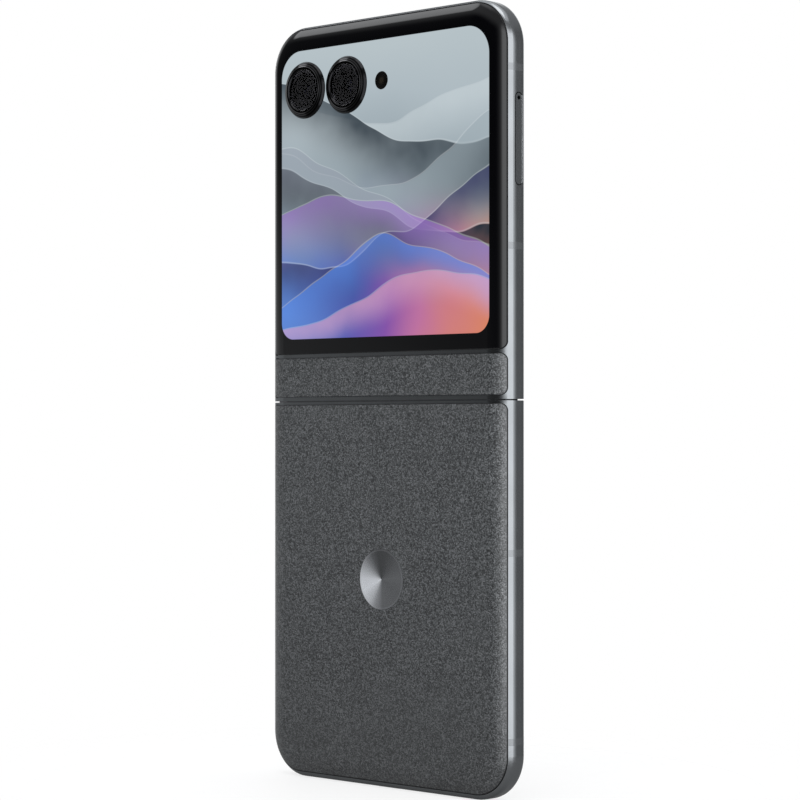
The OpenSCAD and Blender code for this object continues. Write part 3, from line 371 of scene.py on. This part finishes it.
def wallpaper(t, x, z):
    """Generic picture of smoky veils: u runs from left to right on the outer face, v upwards."""
    half_w, z0, z1 = COVER_DISPLAY[:3]
    u = t.math("MULTIPLY_ADD", x, -0.5 / half_w, 0.5)
    v = t.math("MULTIPLY_ADD", z, 1 / (z1 - z0), -z0 / (z1 - z0))
    place = t.node("ShaderNodeCombineXYZ")
    t.link(u, place.inputs[0])
    t.link(v, place.inputs[1])
    swirl = t.noise(place.outputs[0], 2.2, 1.5, 0.4)
    smoke = t.noise(place.outputs[0], 3.4, 3, 0.55)
    shift = t.math("MULTIPLY_ADD", swirl, 0.5, -0.25)
    sky = t.ramp(t.math("ADD", v, t.math("MULTIPLY", shift, 0.6)),
                 (0.0, (0.30, 0.36, 0.42)), (0.45, (0.26, 0.32, 0.36)), (0.8, (0.42, 0.49, 0.53)),
                 (1.0, (0.47, 0.54, 0.57)))
    low = t.ramp(t.math("ADD", u, shift),
                 (0.0, (0.10, 0.22, 0.60)), (0.3, (0.07, 0.10, 0.42)), (0.52, (0.22, 0.08, 0.38)),
                 (0.74, (0.50, 0.16, 0.34)), (1.0, (0.72, 0.24, 0.07)))
    picture = t.mix(t.step(t.math("ADD", v, t.math("MULTIPLY", shift, 1.2)), 0.52, 0.12), sky, low)
    veils = [
        # rise, swing, waves, start, width, strength, tint
        (0.86, -0.10, 2.1, 0.4, 0.20, 0.55, (0.60, 0.67, 0.70)),
        (0.74, 0.16, 2.6, 1.9, 0.26, 0.95, (0.030, 0.045, 0.060)),
        (0.66, -0.14, 3.0, 0.2, 0.22, 0.60, (0.34, 0.41, 0.45)),
        (0.56, 0.20, 1.9, 3.0, 0.24, 1.0, (0.022, 0.030, 0.042)),
        (0.48, -0.18, 2.4, 5.1, 0.22, 0.55, (0.30, 0.33, 0.40)),
        (0.40, 0.15, 3.3, 4.0, 0.18, 0.80, (0.03, 0.03, 0.12)),
        (0.30, 0.17, 2.2, 0.9, 0.20, 0.55, (0.36, 0.20, 0.62)),
        (0.20, -0.12, 3.6, 2.6, 0.16, 0.60, (0.10, 0.26, 0.80)),
        (0.11, 0.10, 2.8, 5.6, 0.15, 0.55, (0.78, 0.42, 0.58)),
    ]
    for rise, swing, waves, start, width, strength, tint in veils:
        wave = t.math("SINE", t.math("MULTIPLY_ADD", u, waves, start))
        bend = t.math("MULTIPLY_ADD", wave, swing, rise)
        bend = t.math("MULTIPLY_ADD", shift, 0.5, bend)
        depth = t.math("SUBTRACT", bend, v)
        body = t.math("MULTIPLY", t.step(depth, 0.0, 0.004), t.step(depth, width, 0.0))
        body = t.math("MULTIPLY", body, t.math("MULTIPLY_ADD", smoke, strength, strength * 0.4))
        picture = t.mix(body, picture, tint)
        rim = t.math("MULTIPLY", t.step(t.math("ABSOLUTE", depth), 0.0035, 0.0), 0.28)
        picture = t.mix(rim, picture, (0.68, 0.73, 0.76))
    return picture


def cover_glass_material():
    m, t = new_material("black_backed_glass")
    at = t.place()
    x, y, z = t.xyz(at)
    # The picture lies in the display's outline, on the outer face only
    mask = t.step(panel_reach(t, x, z, *COVER_DISPLAY), 0.05, -0.05)
    mask = t.math("MULTIPLY", mask, t.math("GREATER_THAN", y, NEAR_OUTER_FACE_Y))
    glow = t.mix(mask, (0, 0, 0), wallpaper(t, x, z))
    haze = t.noise(at, 0.3, 2)
    edge = outline(t, x, z, GLASS_PANEL)
    rough = t.math("MULTIPLY_ADD", haze, 0.03, 0.03)
    t.shader(colour=(0.0015, 0.0015, 0.002), rough=t.math("MULTIPLY_ADD", edge, 0.9, rough),
             ior=1.5, glow=glow, glow_strength=1.0)
    return m


def glass(name, tint, rough=0.02, ior=1.5):
    m, t = new_material(name)
    at = t.place()
    haze = t.noise(at, 1.0, 2)
    t.shader(colour=tint, rough=t.math("MULTIPLY_ADD", haze, 0.02, rough - 0.01), ior=ior,
             through=1.0)
    return m


def screen_material():
    m, t = new_material("dark_screen")
    at = t.place()
    haze = t.noise(at, 0.35, 3)
    # The soft valley that a folding film keeps along the hinge
    valley = t.math("POWER", 2.718, t.math("MULTIPLY", t.math("POWER", t.math(
        "MULTIPLY", t.math("SUBTRACT", t.xyz(at)[2], MID_Z), 0.3), 2.0), -1.0))
    t.shader(colour=t.mix(haze, (0.004, 0.004, 0.006), (0.008, 0.008, 0.011)),
             rough=t.math("MULTIPLY_ADD", haze, 0.05, 0.07), ior=1.45, coat=0.4, coat_rough=0.05,
             normal=t.bump(valley, 0.35, -0.25))
    return m


def badge_material():
    """Bare spun disc: a painted highlight, fixed to the disc, runs round its centre in its colour,
    and a pale line is painted at its rim.
    """
    m, t = new_material("spun_badge_painted_sheen")
    x, _, z = t.xyz(t.place())
    rise = t.math("SUBTRACT", z, BADGE_Z)
    turn = t.math("MULTIPLY_ADD", t.math("ARCTAN2", rise, t.math("MULTIPLY", x, -1.0)),
                  0.5 / math.pi, 0.5)
    out = t.hypot(x, rise)
    grooves = t.math("SINE", t.math("MULTIPLY", out, 40.0))
    # Painted highlight: the colour goes from pale to dark round the centre, in place of the glint
    # of a spun finish
    painted_sheen = t.ramp(turn, *[(at, (v * 0.97, v, v * 1.04)) for at, v in (
        (0.0, 0.74), (0.07, 0.80), (0.15, 0.56), (0.20, 0.30), (0.26, 0.15), (0.42, 0.125),
        (0.52, 0.14), (0.62, 0.10), (0.71, 0.07), (0.78, 0.065), (0.83, 0.11), (0.88, 0.24),
        (0.94, 0.48), (1.0, 0.74))])
    rim = t.math("MULTIPLY", t.step(out, *BADGE_RIM_R), 0.12)
    painted_sheen = t.mix(rim, painted_sheen, (0.42, 0.43, 0.45))
    t.shader(colour=painted_sheen, metal=0.35, rough=t.math("MULTIPLY_ADD", grooves, 0.03, 0.27),
             normal=t.bump(t.math("MULTIPLY", grooves, 0.0006), 1.0, 1.0))
    return m


def from_lens(t, x, z, x0):
    """Distance from a centre line in the row of the cameras and the flash."""
    return t.hypot(t.math("SUBTRACT", x, x0), t.math("SUBTRACT", z, CAMERA_Z))


def circle(t, r, radius, out, full):
    """1 nearer than full to a circle, 0 further than out from it."""
    return t.step(t.math("ABSOLUTE", t.math("SUBTRACT", r, radius)), out, full)


def lens_material(name, x0, barrel):
    """Black barrel with soft rings, a smoother front element and a paler mouth."""
    m, t = new_material(name)
    x, _, z = t.xyz(t.place())
    r = from_lens(t, x, z, x0)
    ridges = t.math("MULTIPLY_ADD", t.math("SINE", t.math("MULTIPLY", r, 5.5)), 0.5, 0.5)
    coated = t.step(r, 0.37 * barrel, 0.34 * barrel)
    mouth = circle(t, r, LENS_MOUTH_R, 0.16, 0.07)
    shade = t.mix(ridges, (0.0008, 0.0008, 0.0009), (0.0050, 0.0050, 0.0054))
    shade = t.mix(coated, shade, (0.002, 0.002, 0.004))
    shade = t.mix(mouth, shade, (0.110, 0.110, 0.112))
    t.shader(colour=shade, metal=0.0, rough=t.math("MULTIPLY_ADD", coated, -0.20, 0.42),
             specular=0.05)
    return m


def ring_material(name, x0):
    """Black anodised ring with two fine pale lines painted round it as highlights of its turned
    edges.
    """
    m, t = new_material(name)
    at = t.place()
    x, _, z = t.xyz(at)
    r = from_lens(t, x, z, x0)
    fine = t.noise(at, 6.0, 3, 0.6)
    inner, outer = RING_GLINT_LINES_R
    # Painted highlight: two fine pale lines round the ring, the outer one fainter, in place of
    # light caught on turned edges
    faint_painted_glint = t.math("MULTIPLY", circle(t, r, outer, 0.12, 0.05), 0.5)
    edge = t.math("MAXIMUM", circle(t, r, inner, 0.13, 0.06), faint_painted_glint)
    shade = t.mix(fine, (0.012, 0.012, 0.013), (0.017, 0.017, 0.018))
    t.shader(colour=t.mix(edge, shade, (0.15, 0.15, 0.155)), metal=1.0,
             rough=t.math("MULTIPLY_ADD", fine, 0.06, 0.10))
    return m


def flash_material():
    """Dark cover with fine rings, warmer and paler over the lamp."""
    m, t = new_material("flash_cover")
    x, _, z = t.xyz(t.place())
    out = from_lens(t, x, z, 0.0)
    rings = t.math("MULTIPLY_ADD", t.math("SINE", t.math("MULTIPLY", out, 18.0)), 0.5, 0.5)
    shade = t.mix(t.step(out, 1.1, 0.3), (0.003, 0.0028, 0.0025), (0.016, 0.013, 0.009))
    t.shader(colour=shade, rough=t.math("MULTIPLY_ADD", rings, 0.06, 0.10), specular=0.3,
             normal=t.bump(t.math("MULTIPLY", rings, 0.01), 1.0, 1.0))
    return m


def board_material():
    m, t = new_material("circuit_board")
    at = t.place()
    cells = t.voronoi(at, 0.55, "Color")
    split = t.node("ShaderNodeSeparateColor")
    t.link(cells, split.inputs[0])
    tracks = t.step(t.voronoi(at, 0.8, "Distance", "DISTANCE_TO_EDGE"), 0.05, 0.12)
    shade = t.mix(tracks, (0.05, 0.17, 0.09), (0.012, 0.07, 0.035))
    shade = t.mix(t.step(split.outputs[0], 0.86, 0.9), shade, (0.55, 0.42, 0.16))
    t.shader(colour=shade, rough=t.math("MULTIPLY_ADD", tracks, 0.15, 0.3),
             normal=t.bump(tracks, 0.2, 0.02))
    return m


SLATE = (0.246, 0.257, 0.266)
SLATE_ROUGH = 0.19
FRAME_METAL = metal("slate_aluminium", SLATE, SLATE_ROUGH, 0.04, crowned=True)
BUTTON_METAL = metal("button_aluminium", (0.25, 0.262, 0.277), 0.2)
BAND = metal("antenna_insert", (0.205, 0.214, 0.222), 0.24, 0.05, crowned=True, metallic=0.9)
LEATHER = leather()
RIM = plastic("rim_plastic", (0.012, 0.012, 0.013), 0.35, 0.1)
STEEL = metal("brushed_steel", (0.5, 0.51, 0.53), 0.3, 0.15)
DARK_STEEL = metal("dark_steel", (0.22, 0.225, 0.235), 0.32, 0.1)
MAGNESIUM = metal("cast_magnesium", (0.36, 0.37, 0.39), 0.5, 0.4)
WRAP = plastic("battery_wrap", (0.02, 0.02, 0.024), 0.55, 0.1)
BLACK = plastic("black_plastic", (0.012, 0.012, 0.013), 0.45, 0.15)
FERRITE = plastic("ferrite_sheet", (0.05, 0.05, 0.055), 0.6, 0.1)
COPPER = metal("bare_copper", (0.75, 0.38, 0.22), 0.3, 0.2)
GOLD = metal("gold_plate", (0.80, 0.57, 0.24), 0.28, 0.1)
FILM = plastic("polyimide_film", (0.30, 0.13, 0.035), 0.35, 0.05)
SCREEN = screen_material()

finishes = {
    FRAME_METAL: ["lower_frame", "upper_frame"],
    tray_metal("tray_aluminium", SLATE, SLATE_ROUGH): ["card_tray"],
    DARK_STEEL: ["spine_cover"],
    BUTTON_METAL: ["power_button", "volume_rocker"],
    BAND: ["lower_antenna_bands", "upper_antenna_bands"],
    LEATHER: ["lower_back_panel", "strip_panel"],
    badge_material(): ["back_badge"],
    RIM: ["lower_bezel", "upper_bezel"],
    SCREEN: ["display_lower", "display_upper", "display_fold"],
    STEEL: ["lower_display_plate", "upper_display_plate", "usb_socket_shell", "hinge_brackets",
            "hinge_pins", "lower_hinge_arms", "upper_hinge_arms", "lower_idler_gears",
            "upper_idler_gears", "lower_screws", "upper_screws", "vibration_motor",
            "shield_cans", "card_reader", "speaker_mesh"],
    MAGNESIUM: ["lower_chassis", "upper_chassis"],
    WRAP: ["lower_battery", "upper_battery"],
    COPPER: ["charging_coil"],
    FERRITE: ["coil_ferrite"],
    BLACK: ["usb_socket_tongue", "loudspeaker", "earpiece", "front_camera"],
    board_material(): ["usb_board", "main_board"],
    GOLD: ["friction_washers", "bottom_microphone", "top_microphone", "sim_card"],
    FILM: ["board_flex_cable", "button_switches", "hinge_flex_cables"],
    cover_glass_material(): ["cover_glass"],
    plastic("panel_back", (0.02, 0.02, 0.025), 0.3): ["cover_display"],
    ring_material("main_ring", MAIN_CAMERA_X): ["main_camera_ring"],
    ring_material("wide_ring", WIDE_CAMERA_X): ["wide_camera_ring"],
    glass("lens_window", (0.80, 0.80, 0.84), ior=1.17): ["main_camera_window",
                                                         "wide_camera_window"],
    lens_material("main_barrel", MAIN_CAMERA_X, MAIN_BARREL_R): ["main_camera_module"],
    lens_material("wide_barrel", WIDE_CAMERA_X, WIDE_BARREL_R): ["wide_camera_module"],
    flash_material(): ["flash_window"],
    plastic("flash_lamp", (0.20, 0.16, 0.08), 0.4): ["flash_lamp"],
}
dressed = set()
for material, names in finishes.items():
    for name in names:
        nodes[name].data.materials.clear()
        nodes[name].data.materials.append(material)
        dressed.add(name)
assert dressed == set(nodes), set(nodes) - dressed


def to_object(name, bm):
    """Puts a finished bmesh into the scene."""
    mesh = bpy.data.meshes.new(name)
    bm.to_mesh(mesh)
    bm.free()
    obj = bpy.data.objects.new(name, mesh)
    scene.collection.objects.link(obj)
    return obj


def smooth(obj, angle=30):
    """Shades a mesh smooth except across its edges."""
    for face in obj.data.polygons:
        face.use_smooth = True
    bm = bmesh.new()
    bm.from_mesh(obj.data)
    for edge in bm.edges:
        edge.smooth = len(edge.link_faces) != 2 or edge.calc_face_angle(0) < math.radians(angle)
    bm.to_mesh(obj.data)
    bm.free()


# ------------------------------------------------------------------ pieces across the hinge

# Where a sheet would start and stop turning, from the hinge axis; no sheet is bent in this script
SCREEN_BEND = (-1.2, 1.3)
RIBBON_BEND = (-1.6, MID_Z - AXIS_Z)
RIBBON_X = 11
RIBBON_HALF_W = 5
RIBBON_Y = (-2.10, -1.98)


def half_width(z, edge, corner):
    """Half the width of the screen at a height z above the nearer end of the phone."""
    full = HALF_W - edge
    low = edge + corner
    if z >= low:
        return full
    return full - corner + math.sqrt(max(0.0, corner ** 2 - (low - z) ** 2))


def sheet_half(name, material, y0, y1, rows, width, flip):
    """Closed thin sheet from rows of z; flip mirrors it to the upper half."""
    columns = 24
    bm = bmesh.new()
    grid = {}
    for i, z in enumerate(rows):
        w = width(z)
        for j in range(columns + 1):
            x = w * (2 * j / columns - 1)
            for k, y in enumerate((y0, y1)):
                at = (x, y, HEIGHT - z if flip else z)
                grid[i, j, k] = bm.verts.new([c * MM for c in at])
    last = len(rows) - 1
    for i in range(last):
        for j in range(columns):
            for k in (0, 1):
                bm.faces.new([grid[i, j, k], grid[i, j + 1, k], grid[i + 1, j + 1, k],
                              grid[i + 1, j, k]])
        for j in (0, columns):
            bm.faces.new([grid[i, j, 0], grid[i, j, 1], grid[i + 1, j, 1], grid[i + 1, j, 0]])
    for i in (0, last):
        for j in range(columns):
            bm.faces.new([grid[i, j, 0], grid[i, j + 1, 0], grid[i, j + 1, 1], grid[i, j, 1]])
    bmesh.ops.recalc_face_normals(bm, faces=bm.faces)
    obj = to_object(name, bm)
    obj.data.materials.append(material)
    return obj


def cut_round_hole(obj, x, z, radius):
    bm = bmesh.new()
    bmesh.ops.create_cone(bm, cap_ends=True, segments=48, radius1=radius * MM,
                          radius2=radius * MM, depth=4 * MM)
    cutter = to_object("cutter", bm)
    cutter.rotation_euler = (math.radians(90), 0, 0)
    cutter.location = (x * MM, SCREEN_FRONT * MM, z * MM)
    cut = obj.modifiers.new("cut", "BOOLEAN")
    cut.operation = "DIFFERENCE"
    cut.solver = "EXACT"
    cut.object = cutter
    bpy.context.view_layer.update()
    result = bpy.data.meshes.new_from_object(obj.evaluated_get(
        bpy.context.evaluated_depsgraph_get()))
    obj.modifiers.clear()
    obj.data = result
    bpy.data.objects.remove(cutter)


def across(obj, flip, bend):
    """Works out the stretch round the hinge axis where a half's sheet would turn on to the spine,
    which nothing uses, and bakes the sheet's transform into its mesh.
    """
    low, high = [AXIS_Z + reach for reach in bend]
    if flip:
        low, high = HEIGHT - low, HEIGHT - high
    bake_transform(obj)


# Rows of z from the phone's end to its middle, close together at the corners and at the hinge
corner_rows = [SCREEN_EDGE + SCREEN_CORNER * (1 - math.cos(math.radians(a)))
               for a in range(0, 91, 6)]
flat_rows = [14 + 4 * i for i in range(17)]
bend_rows = [79.5 + (MID_Z - 79.5) * i / 30 for i in range(31)]
for side, flip in (("lower", False), ("upper", True)):
    screen = sheet_half("flexible_screen_" + side, SCREEN, SCREEN_FRONT, SCREEN_BACK,
                        corner_rows + flat_rows + bend_rows,
                        lambda z: half_width(z, SCREEN_EDGE, SCREEN_CORNER), flip)
    if flip:
        cut_round_hole(screen, 0, FRONT_CAMERA_Z, FRONT_CAMERA_R)
    smooth(screen)
    across(screen, flip, SCREEN_BEND)
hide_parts("display_lower", "display_fold")
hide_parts("display_upper")

# The same for the ribbons, which start further in
ribbon_rows = [70.6 + 1.2 * i for i in range(9)] + [81 + (MID_Z - 81) * i / 16 for i in range(17)]
for side, flip in (("lower", False), ("upper", True)):
    for hand, x in (("left", -RIBBON_X), ("right", RIBBON_X)):
        ribbon = sheet_half("hinge_ribbon_%s_%s" % (side, hand), FILM, *RIBBON_Y, ribbon_rows,
                            lambda z: RIBBON_HALF_W, flip)
        ribbon.data.transform(Matrix.Translation((x * MM, 0, 0)))
        smooth(ribbon)
        across(ribbon, flip, RIBBON_BEND)
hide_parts("hinge_flex_cables")

# ------------------------------------------------------------------ floor

FLOOR_R = 140
FLOOR_FADE = (45, 125)
# White paper under the phone that fades out into the background
m, t = new_material("floor_white")
at = t.place()
x, y, _ = t.xyz(at)
grain = t.noise(at, 0.02, 2)
path = t.node("ShaderNodeLightPath")
seen = t.math("MAXIMUM", path.outputs["Is Camera Ray"], path.outputs["Is Transmission Ray"])
seen = t.math("MULTIPLY_ADD", path.outputs["Is Glossy Ray"], 0.15, seen)
plain = t.principled(colour=t.mix(grain, (0.20, 0.20, 0.20), (0.22, 0.22, 0.22)), rough=0.7,
                     glow=(1, 1, 1), glow_strength=t.math("MULTIPLY", seen, 0.75), specular=0.2)
fade = t.node("ShaderNodeMixShader")
t.link(t.step(t.hypot(x, y), *FLOOR_FADE), fade.inputs[0])
t.link(plain, fade.inputs[1])
t.link(t.node("ShaderNodeBsdfTransparent").outputs[0], fade.inputs[2])
t.surface(fade.outputs[0])
bm = bmesh.new()
bmesh.ops.create_circle(bm, cap_ends=True, segments=96, radius=FLOOR_R * MM)
floor = to_object("floor", bm)
floor.data.materials.append(m)
